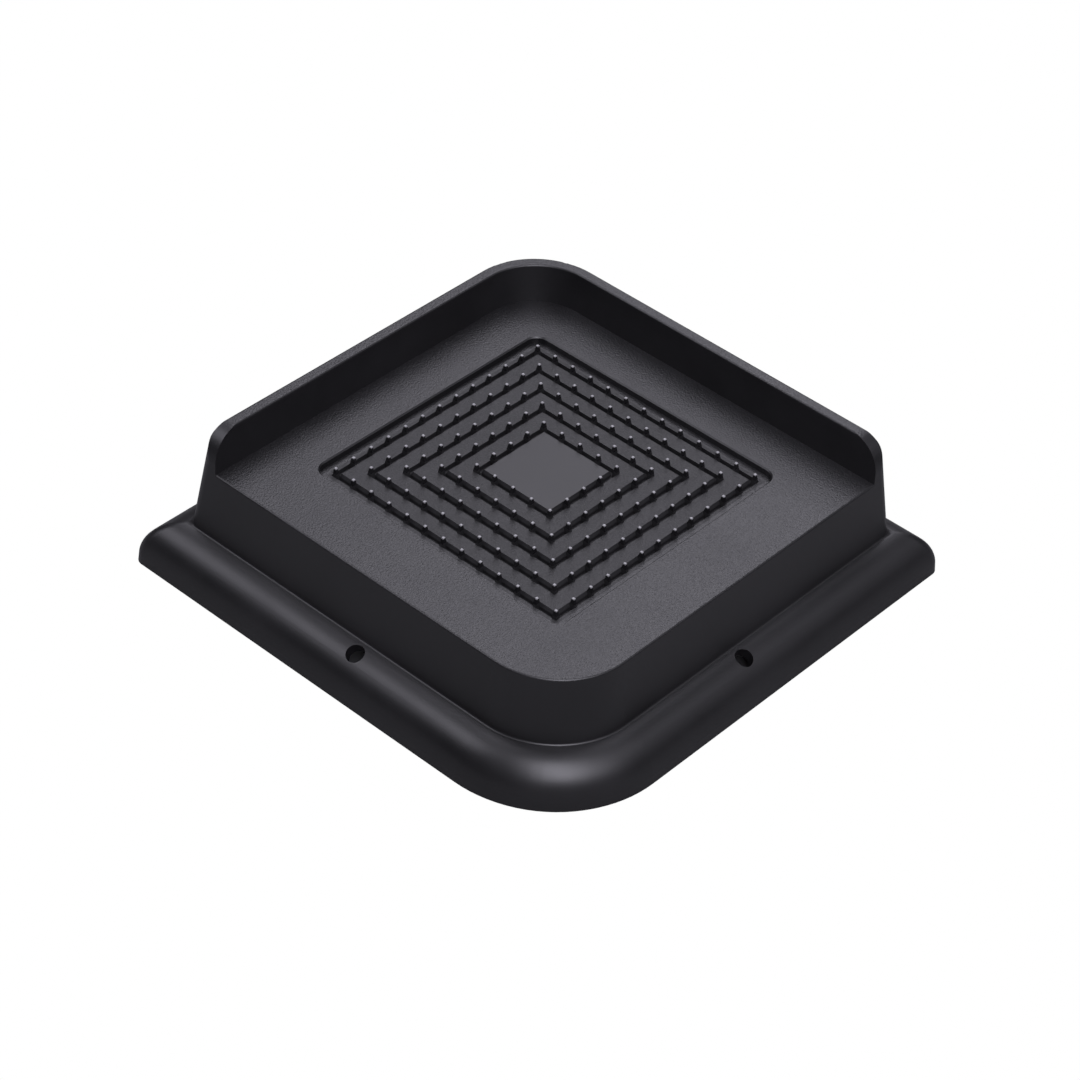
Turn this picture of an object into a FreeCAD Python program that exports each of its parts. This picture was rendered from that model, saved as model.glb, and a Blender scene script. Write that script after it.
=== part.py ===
import FreeCAD, Part
import math
import os

# Square bed riser, moulded in one piece. Sizes are in millimetres.
# +Z is up, the floor is z = 0 and the origin is the middle of the foot.
# The lip stands on the +X and +Y sides; the other two sides of the deck are open.

# Outside
base_side = 118.4          # across the foot
lift = 25.5                # floor to deck
foot_spread = 9.85         # how far the foot stands out beyond the deck's edge, on each side
deck_side = base_side - 2 * foot_spread
wall_draft = 0.118         # the outer wall leans in by this much per millimetre of height
flange_top = 10.4          # height where the flange leaves the wall
rim_height = 9.36          # where the flange's slope would meet the rim, without its round
rim_draft = 0.07           # the rim leans in by this much per millimetre
cove_radius = 0.5          # hollow curve between the wall and the flange
shoulder_radius = 8.5      # full round curve between the flange and its rim
turn_centre = 32.2         # both large corners turn about this point, out from the middle
mitre_radius = 2.4         # rounding of the two tight corners
foot_bevel = 0.5
deck_edge_radius = 0.5

# Lip
lip_height = 8.8           # above the deck
lip_thickness = 2.6        # at its top
lip_inner_draft = 0.113
lip_edge_radius = 0.5
lip_end_radius = 7.5       # quarter round at each free end

# Grip pattern in the deck
recess_side = 66.4
recess_depth = 1.6
recess_corner_radius = 3.0
recess_bevel = 0.3
pattern_shift = 0.5        # the pattern sits this far towards the open corner
ring_count = 5
ring_pitch = 5.0           # from one terrace to the next
outer_ring_half = 30.0     # half the side of the outermost square of nubs
terrace_step = 0.4         # each terrace stands this much higher
bevel_height = 0.7         # slope along the edge of each terrace
bevel_run = 0.4
groove_width = 1.55        # channel round each terrace, from the terrace's edge
groove_depth = 1.0
nub_pitch = 5.0
nub_stand_off = 0.85       # from the edge of the outermost terrace to the middle of a nub
stand_off_step = 0.06      # the nubs stand this much further out on each terrace within
nub_width = 0.8            # along the ring, at its root
nub_length = 2.4           # across the ring, at its root
corner_nub_side = 1.5      # each way, at its root
nub_tip = 0.5
nub_rise = 1.45            # above the terrace inside it

# Screw holes, one in the middle of each side, square to the flange
hole_diameter = 4.0
hole_slope = 25.0          # how far they lean out from upright, in degrees

# Underside
wall = 2.5
deck_thickness = 4.5
rib_thickness = 1.8
rib_pitch = 11.6
rib_count = 8              # each way
stack_clearance = 1.2      # over the lip of the riser below

base_half = base_side / 2
deck_half = deck_side / 2
lip_top = lift + lip_height


def wall_at(z):
    """Half the width of the outer wall at height z."""
    return deck_half + wall_draft * (lift - z)


def turned(shape, degrees):
    """A copy of the shape, turned about the middle of the riser."""
    copy = shape.copy()
    copy.rotate(FreeCAD.Vector(0, 0, 0), FreeCAD.Vector(0, 0, 1), degrees)
    return copy


def box(x0, y0, z0, x1, y1, z1):
    """A box between two opposite corners."""
    return Part.makeBox(x1 - x0, y1 - y0, z1 - z0, FreeCAD.Vector(x0, y0, z0))


def rounded_outline(points):
    """A closed wire in the XZ plane from (x, z, radius) corners."""
    count = len(points)
    corners = [FreeCAD.Vector(x, 0, z) for x, z, radius in points]
    edges = []
    start = None
    first = None
    for i in range(count):
        here = corners[i]
        back = (corners[i - 1] - here).normalize()
        ahead = (corners[(i + 1) % count] - here).normalize()
        radius = points[i][2]
        if radius > 0:
            half_angle = back.getAngle(ahead) / 2
            reach = radius / math.tan(half_angle)
            entry = here + back * reach
            leave = here + ahead * reach
            bisector = (back + ahead).normalize()
            middle = here + bisector * (radius / math.sin(half_angle) - radius)
        else:
            entry = here
            leave = here
        if start is None:
            first = entry
        else:
            edges.append(Part.LineSegment(start, entry).toShape())
        if radius > 0:
            edges.append(Part.Arc(entry, middle, leave).toShape())
        start = leave
    edges.append(Part.LineSegment(start, first).toShape())
    return Part.Wire(edges)


def inset_line(points, distance):
    """An open line of (x, z) points, moved to its left-hand side by the distance."""
    moved = []
    for (x0, z0), (x1, z1) in zip(points, points[1:]):
        length = math.hypot(x1 - x0, z1 - z0)
        dx = -(z1 - z0) / length * distance
        dz = (x1 - x0) / length * distance
        moved.append(((x0 + dx, z0 + dz), (x1 + dx, z1 + dz)))
    result = [moved[0][0]]
    for (a, b), (c, d) in zip(moved, moved[1:]):
        ux, uz = b[0] - a[0], b[1] - a[1]
        vx, vz = d[0] - c[0], d[1] - c[1]
        t = ((c[0] - a[0]) * vz - (c[1] - a[1]) * vx) / (ux * vz - uz * vx)
        result.append((a[0] + ux * t, a[1] + uz * t))
    result.append(moved[-1][1])
    return result


def straight_side(face, start, end):
    """The face swept along Y, for the +X side."""
    moved = face.copy()
    moved.translate(FreeCAD.Vector(0, start, 0))
    return moved.extrude(FreeCAD.Vector(0, end - start, 0))


def round_corner(face):
    """The face turned through the large corner between +X and +Y."""
    moved = face.copy()
    moved.translate(FreeCAD.Vector(0, turn_centre, 0))
    axis = FreeCAD.Vector(turn_centre, turn_centre, 0)
    return moved.revolve(axis, FreeCAD.Vector(0, 0, 1), 90)


def mitred_corner(face):
    """The face carried straight on from both sides into the corner between +X and +Y."""
    along_y = straight_side(face, turn_centre, base_side)
    along_x = straight_side(face, -base_side, -turn_centre)
    return along_y.common(turned(along_x, 90))


def square_ring_block(corners):
    """A solid block whose section, beyond the turning centre, is the given outline."""
    face = Part.Face(rounded_outline(corners))
    low = min(z for x, z, radius in corners)
    high = max(z for x, z, radius in corners)
    pieces = [straight_side(face, -turn_centre, turn_centre)]
    pieces += [turned(pieces[0], 90 * i) for i in (1, 2, 3)]
    pieces += [turned(round_corner(face), angle) for angle in (0, 180)]
    pieces += [turned(mitred_corner(face), angle) for angle in (90, 270)]
    core = box(-turn_centre, -turn_centre, low, turn_centre, turn_centre, high)
    return core.fuse(pieces).removeSplitter()


def outside_line():
    """The line of the outside from the floor to the top of the lip."""
    return [(base_half, 0),
            (base_half - rim_draft * rim_height, rim_height),
            (wall_at(flange_top), flange_top),
            (wall_at(lip_top), lip_top)]


def round_radii():
    """The radii of the shoulder and the cove, each held within the flange's slope and the rim."""
    foot, shoulder, cove, top = [FreeCAD.Vector(x, 0, z) for x, z in outside_line()]
    slope = (cove - shoulder).Length
    shoulder_tangent = math.tan((cove - shoulder).getAngle(foot - shoulder) / 2)
    cove_tangent = math.tan((shoulder - cove).getAngle(top - cove) / 2)
    cove_reach = min(cove_radius / cove_tangent, slope / 4)
    shoulder_reach = min(0.98 * (slope - cove_reach), (foot - shoulder).Length - foot_bevel)
    return min(shoulder_radius, shoulder_reach * shoulder_tangent), min(cove_radius, cove_reach * cove_tangent)


def outer_block():
    """The whole outside, as high as the lip on all sides, with its tight corners rounded."""
    foot, shoulder, cove, top = outside_line()
    shoulder_round, cove_round = round_radii()
    block = square_ring_block([(turn_centre, 0, 0),
                               (*foot, 0),
                               (*shoulder, shoulder_round),
                               (*cove, cove_round),
                               (*top, 0),
                               (turn_centre, lip_top, 0)])
    mitres = []
    for edge in block.Edges:
        spots = [edge.valueAt(edge.FirstParameter), edge.valueAt(edge.LastParameter)]
        if all(abs(spot.x + spot.y) < 0.001 for spot in spots) and edge.Length > 0.01:
            mitres.append(edge)
    block = block.makeFillet(mitre_radius, mitres)
    return block.makeFillet(lip_edge_radius, edges_at(block, lip_top))


def edges_at(shape, height):
    """The edges that lie at the given height."""
    return [edge for edge in shape.Edges
            if abs(edge.BoundBox.ZMin - height) < 0.001 and abs(edge.BoundBox.ZMax - height) < 0.001]


def lip_inside(height):
    """Half the width inside the lip at the given height above the deck."""
    return wall_at(lip_top) - lip_thickness - lip_inner_draft * (lip_height - height)


def space_over_deck():
    """What is cut away above the deck, inside the lip, with the lip's inner curves."""
    inner_foot = lip_inside(0)
    inner_top = lip_inside(lip_height)
    above = lip_top + lip_height
    face = Part.Face(rounded_outline([(turn_centre, lift, 0),
                                      (inner_foot, lift, 0),
                                      (inner_top, lip_top, lip_edge_radius),
                                      (inner_top + 2 * lip_edge_radius, lip_top, 0),
                                      (inner_top + 2 * lip_edge_radius, above, 0),
                                      (turn_centre, above, 0)]))
    side = straight_side(face, -base_side, turn_centre)
    other = turned(straight_side(face, -turn_centre, base_side), 90)
    core = box(-base_side, -base_side, lift, turn_centre, turn_centre, above)
    return core.fuse([side, other, round_corner(face)])


def lip_end_cuts():
    """What the quarter rounds take off the two free ends of the lip."""
    low = lift + 1
    inside = -deck_half + 2 * lip_end_radius
    kept = Part.Face(rounded_outline([(inside, low, 0),
                                      (inside, lip_top, 0),
                                      (-wall_at(lip_top), lip_top, lip_end_radius),
                                      (-wall_at(low), low, 0)]))
    around = box(-base_half, 0, low, inside, base_half, lip_top + 1)
    first = around.cut(straight_side(kept, -1, base_half + 1))
    return [first, first.mirror(FreeCAD.Vector(0, 0, 0), FreeCAD.Vector(1, -1, 0))]


def deck_edge_cuts():
    """What is taken off the two open edges of the deck and the corner between them."""
    beyond = 2 * wall
    face = Part.Face(rounded_outline([(deck_half - beyond, lift + 1, 0),
                                      (deck_half - beyond, lift, 0),
                                      (deck_half, lift, deck_edge_radius),
                                      (wall_at(lift - wall), lift - wall, 0),
                                      (deck_half + beyond, lift - wall, 0),
                                      (deck_half + beyond, lift + 1, 0)]))
    end = lip_inside(0)
    return [turned(straight_side(face, -turn_centre, end), 270),
            turned(straight_side(face, -end, turn_centre), 180),
            turned(round_corner(face), 180)]


def cavity():
    """The hollow underside, one wall in from the outside."""
    foot, shoulder, cove, top = inset_line(outside_line(), wall)
    ceiling = lift - deck_thickness
    share = (ceiling - cove[1]) / (top[1] - cove[1])
    ceiling_half = cove[0] + (top[0] - cove[0]) * share
    return square_ring_block([(turn_centre, foot[1], 0),
                              (*foot, 0),
                              (*shoulder, max(round_radii()[0] - wall, 0)),
                              (*cove, 0),
                              (ceiling_half, ceiling, 0),
                              (turn_centre, ceiling, 0)])


def ribs(hollow):
    """Crossed ribs that fill the hollow, with a channel round them for the lip of a riser below."""
    last = (rib_count - 1) / 2 * rib_pitch
    plates = []
    for i in range(rib_count):
        middle = i * rib_pitch - last
        plate = box(-base_half, middle - rib_thickness / 2, 0, base_half, middle + rib_thickness / 2, lift)
        plates += [plate, turned(plate, 90)]
    block_half = last + rib_thickness / 2
    channel = box(-base_half, -base_half, -1, base_half, base_half, lip_height + stack_clearance)
    channel = channel.cut(box(-block_half, -block_half, -2, block_half, block_half, lift))
    return plates[0].fuse(plates[1:]).common(hollow).cut(channel)


def centred_block(half, low, high):
    """A square block over the middle of the grip pattern."""
    return box(-half - pattern_shift, -half - pattern_shift, low,
               half - pattern_shift, half - pattern_shift, high)


def sink_recess(shape):
    """Sinks the shallow pocket for the grip pattern into the deck and bevels its rim."""
    pocket = centred_block(recess_side / 2, lift - recess_depth, lift + 1)
    upright = [edge for edge in pocket.Edges if abs(edge.tangentAt(edge.FirstParameter).z) > 0.9]
    shape = shape.cut(pocket.makeFillet(recess_corner_radius, upright))
    rim = [edge for edge in edges_at(shape, lift)
           if abs(edge.CenterOfMass.x + pattern_shift) < recess_side / 2 + 0.01
           and abs(edge.CenterOfMass.y + pattern_shift) < recess_side / 2 + 0.01]
    return shape.makeChamfer(recess_bevel, rim)


def frustum(root_x, root_y, tip_x, tip_y, low, high):
    """A block over the origin with sloping sides, from its widths at both ends."""
    wedge = Part.makeWedge(-root_x / 2, low, -root_y / 2, -tip_y / 2, -tip_x / 2,
                           root_x / 2, high, root_y / 2, tip_y / 2, tip_x / 2)
    wedge.rotate(FreeCAD.Vector(0, 0, 0), FreeCAD.Vector(1, 0, 0), 90)
    return wedge


def nub(ring_half, along, at_corner, low, high):
    """One pointed nub on the +X side of its ring."""
    if at_corner:
        one = frustum(corner_nub_side, corner_nub_side, nub_tip, nub_tip, low, high)
    else:
        one = frustum(nub_length, nub_width, nub_tip, nub_tip, low, high)
    one.translate(FreeCAD.Vector(ring_half, along, 0))
    return one


def add_grip_pattern(shape):
    """Concentric square terraces that climb to a smooth middle, with nubs round each one."""
    floor = lift - recess_depth
    nubs = []
    for ring in range(ring_count):
        ring_half = outer_ring_half - ring * ring_pitch
        groove_floor = floor - groove_depth
        root = groove_floor - groove_depth / 2
        floor += terrace_step
        top_half = ring_half - nub_stand_off - ring * stand_off_step
        side = 2 * (top_half + bevel_run)
        slope = frustum(side, side, 2 * top_half, 2 * top_half, floor - bevel_height, floor)
        slope.translate(FreeCAD.Vector(-pattern_shift, -pattern_shift, 0))
        shape = shape.cut(centred_block(top_half + groove_width, groove_floor, lift + 1))
        shape = shape.fuse([centred_block(side / 2, root, floor - bevel_height), slope])
        steps = round(2 * ring_half / nub_pitch)
        for i in range(steps):
            along = -ring_half + i * 2 * ring_half / steps
            one = nub(ring_half, along, i == 0, root, floor + nub_rise)
            nubs += [turned(one, 90 * side) for side in range(4)]
    for one in nubs:
        one.translate(FreeCAD.Vector(-pattern_shift, -pattern_shift, 0))
    return shape.fuse(nubs)


def screw_holes():
    """Drills square to the round of the flange, one in the middle of each side."""
    foot, shoulder, cove, top = [FreeCAD.Vector(x, 0, z) for x, z in outside_line()]
    up = (cove - shoulder).normalize()
    down = (foot - shoulder).normalize()
    shoulder_round = round_radii()[0]
    reach = shoulder_round / math.sin(up.getAngle(down) / 2)
    centre = shoulder + (up + down).normalize() * reach
    lean = math.radians(hole_slope)
    outward = FreeCAD.Vector(math.sin(lean), 0, math.cos(lean))
    start = centre + outward * (shoulder_round + wall)
    drill = Part.makeCylinder(hole_diameter / 2, 3 * wall, start, -outward)
    return [turned(drill, 90 * side) for side in range(4)]


part = outer_block()
part = part.cut(space_over_deck())
part = part.cut(lip_end_cuts())
part = part.cut(deck_edge_cuts())
part = sink_recess(part)
part = part.makeChamfer(foot_bevel, edges_at(part, 0))
hollow = cavity()
part = part.cut(hollow)
part = part.fuse(ribs(hollow))
part = part.cut(screw_holes())
part = add_grip_pattern(part)
print("bed riser", part.isValid(), len(part.Solids), "solid", round(part.Volume), "mm3", len(part.Faces), "faces")

os.makedirs("parts", exist_ok=True)
part.Solids[0].exportStep("parts/bed_riser.step")
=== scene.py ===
import math

import bpy
from mathutils import Matrix, Vector

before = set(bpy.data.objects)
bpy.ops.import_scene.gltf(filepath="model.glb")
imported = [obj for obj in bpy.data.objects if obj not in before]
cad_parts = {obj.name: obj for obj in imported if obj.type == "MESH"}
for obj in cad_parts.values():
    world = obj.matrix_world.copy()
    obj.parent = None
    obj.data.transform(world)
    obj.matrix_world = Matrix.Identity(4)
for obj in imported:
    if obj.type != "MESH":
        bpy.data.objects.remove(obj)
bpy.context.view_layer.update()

# A black plastic bed riser on a white floor. Lengths are in metres, in the riser's own frame:
# +Z is up and the lip stands on the +X and +Y sides.

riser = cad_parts["bed_riser"]


# helpers for nodes: place is where the node lies in the editor

def newMaterial(name):
    material = bpy.data.materials.new(name)
    material.use_nodes = True
    material.node_tree.nodes.clear()
    return material


def addNode(tree, kind, place, **settings):
    node = tree.nodes.new(kind)
    node.location = place
    for key, value in settings.items():
        if key in node.inputs:
            node.inputs[key].default_value = value
        else:
            setattr(node, key, value)
    return node


def addMath(tree, operation, place, first, second=None):
    node = addNode(tree, "ShaderNodeMath", place, operation=operation)
    for slot, source in enumerate((first, second)):
        if isinstance(source, float):
            node.inputs[slot].default_value = source
        elif source is not None:
            tree.links.new(source, node.inputs[slot])
    return node.outputs["Value"]


def addRange(tree, place, value, source, target=(0.0, 1.0)):
    node = addNode(tree, "ShaderNodeMapRange", place)
    for end, before, after in zip(("Min", "Max"), source, target):
        node.inputs["From " + end].default_value = before
        node.inputs["To " + end].default_value = after
    tree.links.new(value, node.inputs["Value"])
    return node.outputs["Result"]


def addMix(tree, place, kind, mask, plain, changed):
    node = addNode(tree, "ShaderNodeMix", place, data_type=kind)
    node.inputs["B"].default_value = changed
    tree.links.new(mask, node.inputs["Factor"])
    tree.links.new(plain, node.inputs["A"])
    return node.outputs["Result"]


def splitAxes(tree, place, space):
    source = addNode(tree, "ShaderNodeTexCoord", (place[0] - 200, place[1]))
    axes = addNode(tree, "ShaderNodeSeparateXYZ", place)
    tree.links.new(source.outputs[space], axes.inputs["Vector"])
    return axes.outputs


def addNoise(tree, place, size, detail):
    source = addNode(tree, "ShaderNodeTexCoord", (place[0] - 200, place[1]))
    noise = addNode(tree, "ShaderNodeTexNoise", place, Scale=1 / size, Detail=detail)
    tree.links.new(source.outputs["Object"], noise.inputs["Vector"])
    return noise.outputs["Fac"]


# black plastic

plastic = {
    "colour": (0.0062, 0.0060, 0.0066),
    "colourDrift": 0.25,        # how far the colour wanders, as a share of itself
    "driftSize": 0.018,
    "driftDetail": 3.0,
    "driftRange": (0.3, 0.7),   # nearly all of the noise's values lie between these
    "roughness": 0.40,
    "roughnessDrift": 0.03,
    "specular": 0.5,
    "grainSize": 0.0004,
    "grainDetail": 2.0,
    "grainMiddle": 0.5,         # middle value of its noise
    "grainDepth": 0.00010,
    "grainRoughness": 0.31,     # how far the grain moves the roughness
    "rippleSize": 0.006,
    "rippleDetail": 1.0,
    "rippleDepth": 0.000008,
    "sharpRoughness": 0.16,     # on the nubs' sides and the recess's wall
    "terraceRoughness": 0.56,
    "middleRoughness": 0.46,    # on the smooth middle of the pattern
    # painted highlight: a lighter colour on the nubs' tips that stands for the lamps' glint on
    # them
    "tipHighlightColour": (0.20, 0.198, 0.205),
    "tipRoughness": 0.30,
}

pattern = {
    "middle": -0.0005,          # of the grip pattern, both ways
    "smoothHalf": 0.0093,       # half the side of its smooth middle
    "smoothAbove": 0.0258,
    "reach": 0.0315,            # half the side of the outermost ring of nubs, and a little more
    "fall": 0.08,               # how fast the nubs' tips fall outwards
    "tipLine": 0.0280,          # height of the tips, carried in to the middle at that slope
    "tipDepth": 0.0001,         # how far down the scuffing of the tips fades
    "nubLine": 0.02685,         # how far down the painted highlight on the tips fades, and their lower roughness with it
    "wallFrom": 0.0325,         # the recess's wall lies between these, out from the middle
    "wallTo": 0.0337,
    "wallBelow": 0.0255,
    "uprightBelow": 0.6,        # an upright face's normal has less than this of Z
    "flatAbove": 0.95,          # and a flat one's more than this
    "grainAbove": 0.0235,       # the grain is on the deck and the terraces only
}


def makeMasks(tree):
    axes = splitAxes(tree, (-1500, 600), "Object")
    facing = splitAxes(tree, (-1500, 1200), "Normal")

    # distance from the pattern's middle, measured square
    sides = []
    for row, axis in enumerate("XY"):
        offset = addMath(tree, "SUBTRACT", (-1300, 750 - 150 * row), axes[axis], pattern["middle"])
        sides.append(addMath(tree, "ABSOLUTE", (-1100, 750 - 150 * row), offset))
    across = addMath(tree, "MAXIMUM", (-900, 700), *sides)

    inMiddle = addMath(tree, "LESS_THAN", (-700, 900), across, pattern["smoothHalf"])
    onTop = addMath(tree, "GREATER_THAN", (-700, 750), axes["Z"], pattern["smoothAbove"])
    smooth = addMath(tree, "MULTIPLY", (-500, 850), inMiddle, onTop)

    # nubs are told from their terraces by height, and their tips from the rest
    inPattern = addMath(tree, "LESS_THAN", (-500, 450), across, pattern["reach"])
    fall = addMath(tree, "MULTIPLY", (-700, 600), across, pattern["fall"])
    level = addMath(tree, "ADD", (-500, 600), axes["Z"], fall)
    tipStart = pattern["tipLine"] - pattern["tipDepth"]
    nearTip = addRange(tree, (-300, 650), level, (tipStart, pattern["tipLine"]))
    tips = addMath(tree, "MULTIPLY", (-100, 600), nearTip, inPattern)
    overTerrace = addMath(tree, "GREATER_THAN", (-300, 450), level, pattern["nubLine"])
    onNub = addMath(tree, "MULTIPLY", (-100, 450), overTerrace, inPattern)

    beyond = addMath(tree, "GREATER_THAN", (-900, 1250), across, pattern["wallFrom"])
    within = addMath(tree, "LESS_THAN", (-900, 1100), across, pattern["wallTo"])
    atWall = addMath(tree, "MULTIPLY", (-700, 1200), beyond, within)
    upright = addMath(tree, "LESS_THAN", (-1100, 1100), facing["Z"], pattern["uprightBelow"])
    uprightWall = addMath(tree, "MULTIPLY", (-500, 1200), atWall, upright)
    underDeck = addMath(tree, "LESS_THAN", (-700, 1050), axes["Z"], pattern["wallBelow"])
    onWall = addMath(tree, "MULTIPLY", (-300, 1150), uprightWall, underDeck)
    sharp = addMath(tree, "MAXIMUM", (50, 500), onNub, onWall)

    flat = addMath(tree, "GREATER_THAN", (-1100, 1400), facing["Z"], pattern["flatAbove"])
    high = addMath(tree, "GREATER_THAN", (-1100, 1550), axes["Z"], pattern["grainAbove"])
    onDeck = addMath(tree, "MULTIPLY", (-900, 1450), flat, high)
    unpolished = addMath(tree, "SUBTRACT", (-300, 850), 1.0, smooth)
    grainy = addMath(tree, "MULTIPLY", (-100, 900), onDeck, unpolished)
    return {"pattern": inPattern, "middle": smooth, "sharp": sharp, "tips": tips, "grain": grainy}


# wanders a little, as moulded plastic does, with a painted highlight on the nubs' tips
def makeColour(tree, drift, masks):
    spread = plastic["colourDrift"]
    shade = addRange(tree, (-620, 250), drift, plastic["driftRange"], (1 - spread, 1 + spread))
    colour = addNode(tree, "ShaderNodeVectorMath", (-400, 250), operation="SCALE")
    colour.inputs[0].default_value = plastic["colour"]
    tree.links.new(shade, colour.inputs["Scale"])
    # painted highlight: the tips are made lighter where the lamps would glint on them
    tipHighlightColour = (*plastic["tipHighlightColour"], 1)
    return addMix(tree, (-150, 250), "RGBA", masks["tips"], colour.outputs["Vector"], tipHighlightColour)


def makeRoughness(tree, drift, grain, masks):
    middle, spread = plastic["roughness"], plastic["roughnessDrift"]
    target = (middle - spread, middle + spread)
    roughness = addRange(tree, (-400, 50), drift, plastic["driftRange"], target)
    changes = (("pattern", "terraceRoughness"), ("middle", "middleRoughness"),
               ("sharp", "sharpRoughness"), ("tips", "tipRoughness"))
    for step, (mask, value) in enumerate(changes):
        place = (-250 + 100 * step, 50)
        roughness = addMix(tree, place, "FLOAT", masks[mask], roughness, plastic[value])
    speckle = addMath(tree, "SUBTRACT", (-300, -50), grain, plastic["grainMiddle"])
    deckSpeckle = addMath(tree, "MULTIPLY", (-150, -50), speckle, masks["grain"])
    change = addMath(tree, "MULTIPLY", (0, -50), deckSpeckle, plastic["grainRoughness"])
    return addMath(tree, "ADD", (100, -50), roughness, change)


# fine grain of the mould over faint ripples
def makeRelief(tree, grain, masks):
    ripple = addNoise(tree, (-850, -450), plastic["rippleSize"], plastic["rippleDetail"])
    rippleBump = addNode(tree, "ShaderNodeBump", (-400, -450), Distance=plastic["rippleDepth"])
    grainBump = addNode(tree, "ShaderNodeBump", (-150, -200), Distance=plastic["grainDepth"])
    tree.links.new(ripple, rippleBump.inputs["Height"])
    tree.links.new(rippleBump.outputs["Normal"], grainBump.inputs["Normal"])
    tree.links.new(grain, grainBump.inputs["Height"])
    tree.links.new(masks["grain"], grainBump.inputs["Strength"])
    return grainBump.outputs["Normal"]


def makePlastic():
    material = newMaterial("blackPlastic")
    tree = material.node_tree
    masks = makeMasks(tree)
    drift = addNoise(tree, (-850, 250), plastic["driftSize"], plastic["driftDetail"])
    grain = addNoise(tree, (-850, -200), plastic["grainSize"], plastic["grainDetail"])
    surface = addNode(tree, "ShaderNodeBsdfPrincipled", (300, 100))
    surface.inputs["Specular IOR Level"].default_value = plastic["specular"]
    tree.links.new(makeColour(tree, drift, masks), surface.inputs["Base Color"])
    tree.links.new(makeRoughness(tree, drift, grain, masks), surface.inputs["Roughness"])
    tree.links.new(makeRelief(tree, grain, masks), surface.inputs["Normal"])
    output = addNode(tree, "ShaderNodeOutputMaterial", (600, 100))
    tree.links.new(surface.outputs["BSDF"], output.inputs["Surface"])
    return material


riser.data.materials.clear()
riser.data.materials.append(makePlastic())
print("plastic made")


# floor and surroundings: plain white to the camera, and dim to everything else

studio = {
    "floorSize": 8.0,
    "floorColour": (0.20, 0.20, 0.20),
    "underRiser": 0.0535,       # half the side of the dark square in the hollow under the riser
    "cornerShare": 0.57,        # cuts its corners back, as the foot's are round
    "ambient": 0.02,
    "white": 1.0,
}


def makeFloor():
    bpy.ops.object.select_all(action="DESELECT")
    bpy.ops.mesh.primitive_plane_add(size=studio["floorSize"], location=(0, 0, 0))
    floor = bpy.context.object
    floor.name = "floor"
    material = newMaterial("floorPaper")
    tree = material.node_tree
    rays = addNode(tree, "ShaderNodeLightPath", (-100, 300))
    axes = splitAxes(tree, (-1100, 0), "Object")

    # the screw holes look down on this, so it isn't white
    sides = []
    for row, axis in enumerate("XY"):
        sides.append(addMath(tree, "ABSOLUTE", (-900, -150 * row), axes[axis]))
    larger = addMath(tree, "MAXIMUM", (-700, 0), *sides)
    total = addMath(tree, "ADD", (-700, -150), *sides)
    cornered = addMath(tree, "MULTIPLY", (-500, -150), total, studio["cornerShare"])
    outward = addMath(tree, "MAXIMUM", (-300, 0), larger, cornered)
    inOpen = addMath(tree, "GREATER_THAN", (-100, 0), outward, studio["underRiser"])
    seen = addMath(tree, "MULTIPLY", (100, 250), rays.outputs["Is Camera Ray"], inOpen)

    paper = addNode(tree, "ShaderNodeBsdfDiffuse", (300, 100), Color=(*studio["floorColour"], 1))
    white = addNode(tree, "ShaderNodeEmission", (300, -50), Strength=studio["white"])
    choose = addNode(tree, "ShaderNodeMixShader", (500, 50))
    tree.links.new(seen, choose.inputs["Fac"])
    tree.links.new(paper.outputs["BSDF"], choose.inputs[1])
    tree.links.new(white.outputs["Emission"], choose.inputs[2])
    output = addNode(tree, "ShaderNodeOutputMaterial", (700, 50))
    tree.links.new(choose.outputs["Shader"], output.inputs["Surface"])
    floor.data.materials.append(material)


def makeWorld():
    world = bpy.data.worlds.new("studio")
    bpy.context.scene.world = world
    world.use_nodes = True
    tree = world.node_tree
    tree.nodes.clear()
    rays = addNode(tree, "ShaderNodeLightPath", (-300, 200))
    dim = addNode(tree, "ShaderNodeBackground", (-50, 100), Strength=studio["ambient"])
    white = addNode(tree, "ShaderNodeBackground", (-50, -50), Strength=studio["white"])
    choose = addNode(tree, "ShaderNodeMixShader", (200, 50))
    tree.links.new(rays.outputs["Is Camera Ray"], choose.inputs["Fac"])
    tree.links.new(dim.outputs["Background"], choose.inputs[1])
    tree.links.new(white.outputs["Background"], choose.inputs[2])
    output = addNode(tree, "ShaderNodeOutputWorld", (400, 50))
    tree.links.new(choose.outputs["Shader"], output.inputs["Surface"])


makeFloor()
makeWorld()
print("floor and surroundings made")


# lamps: soft panels that all face the riser. Turn is measured from the front, seen from above,
# and rise from the floor, both in degrees

lampDistance = 1.1
lampColour = (0.985, 0.965, 1.08)

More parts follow.
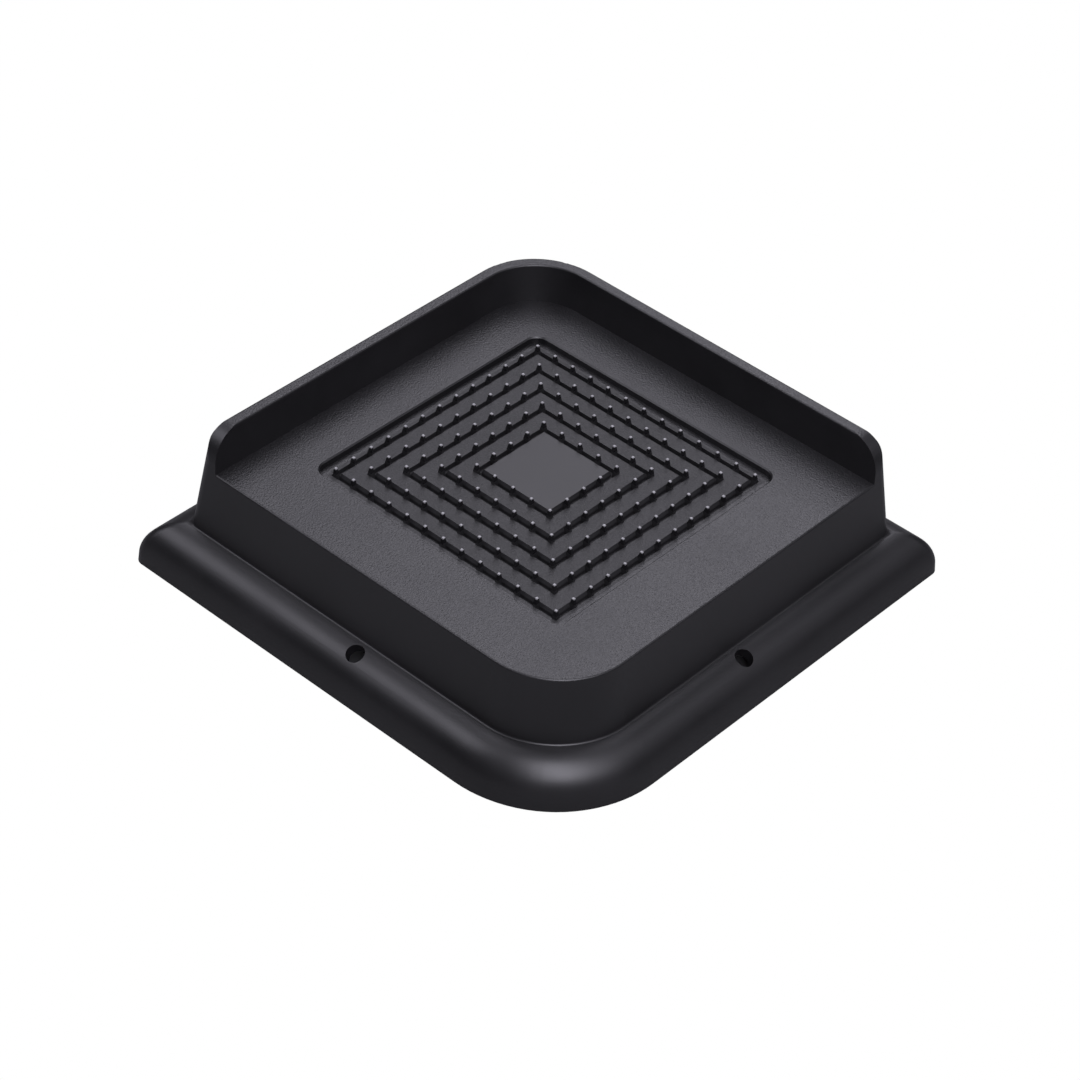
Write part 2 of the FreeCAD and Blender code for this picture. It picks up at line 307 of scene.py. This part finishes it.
lamps = {
    "front": {"turn": -38.0, "rise": 50.0, "width": 0.5, "height": 0.9, "power": 11.5},
    "frontRight": {"turn": -10.0, "rise": 40.0, "width": 0.5, "height": 0.5, "power": 2.0},
    "back": {"turn": 130.0, "rise": 60.0, "width": 0.8, "height": 0.8, "power": 6.5},
    "backLow": {"turn": 120.0, "rise": 32.0, "width": 0.5, "height": 0.4, "power": 1.3},
    "left": {"turn": 220.0, "rise": 46.0, "width": 0.5, "height": 0.5, "power": 3.0},
    "leftHigh": {"turn": 222.0, "rise": 64.0, "width": 0.7, "height": 0.7, "power": 0.5},
    "right": {"turn": 40.0, "rise": 48.0, "width": 0.5, "height": 0.5, "power": 1.0},
    "rightLow": {"turn": 40.0, "rise": 24.0, "width": 0.5, "height": 0.4, "power": 0.3},
}


def directionFrom(turn, rise):
    turn, rise = math.radians(turn), math.radians(rise)
    outward = math.cos(rise)
    return Vector((math.sin(turn) * outward, -math.cos(turn) * outward, math.sin(rise)))


def makeLamps():
    for name, lamp in lamps.items():
        light = bpy.data.lights.new(name, "AREA")
        light.shape = "RECTANGLE"
        light.size = lamp["width"]
        light.size_y = lamp["height"]
        light.energy = lamp["power"]
        light.color = lampColour
        holder = bpy.data.objects.new(name, light)
        bpy.context.scene.collection.objects.link(holder)
        away = directionFrom(lamp["turn"], lamp["rise"])
        holder.location = away * lampDistance
        holder.rotation_euler = away.to_track_quat("Z", "Y").to_euler()


makeLamps()
print("lamps made")


# camera

view = {
    "place": Vector((-0.38765, -0.32555, 0.43165)),
    "aim": Vector((-0.00937, -0.00748, 0.0170)),
    "roll": 3.94,               # degrees
    "lens": 107.0,              # millimetres, as is the sensor
    "sensor": 36.0,
    "nearest": 0.01,
}


def makeCamera():
    camera = bpy.data.objects.new("camera", bpy.data.cameras.new("camera"))
    bpy.context.scene.collection.objects.link(camera)
    camera.data.lens = view["lens"]
    camera.data.sensor_width = view["sensor"]
    camera.data.clip_start = view["nearest"]
    turned = (view["aim"] - view["place"]).to_track_quat("-Z", "Y").to_matrix()
    turned = turned @ Matrix.Rotation(math.radians(view["roll"]), 3, "Z")
    camera.matrix_world = Matrix.Translation(view["place"]) @ turned.to_4x4()
    bpy.context.scene.camera = camera


makeCamera()
bpy.context.scene.view_settings.view_transform = "Standard"
print("camera made")
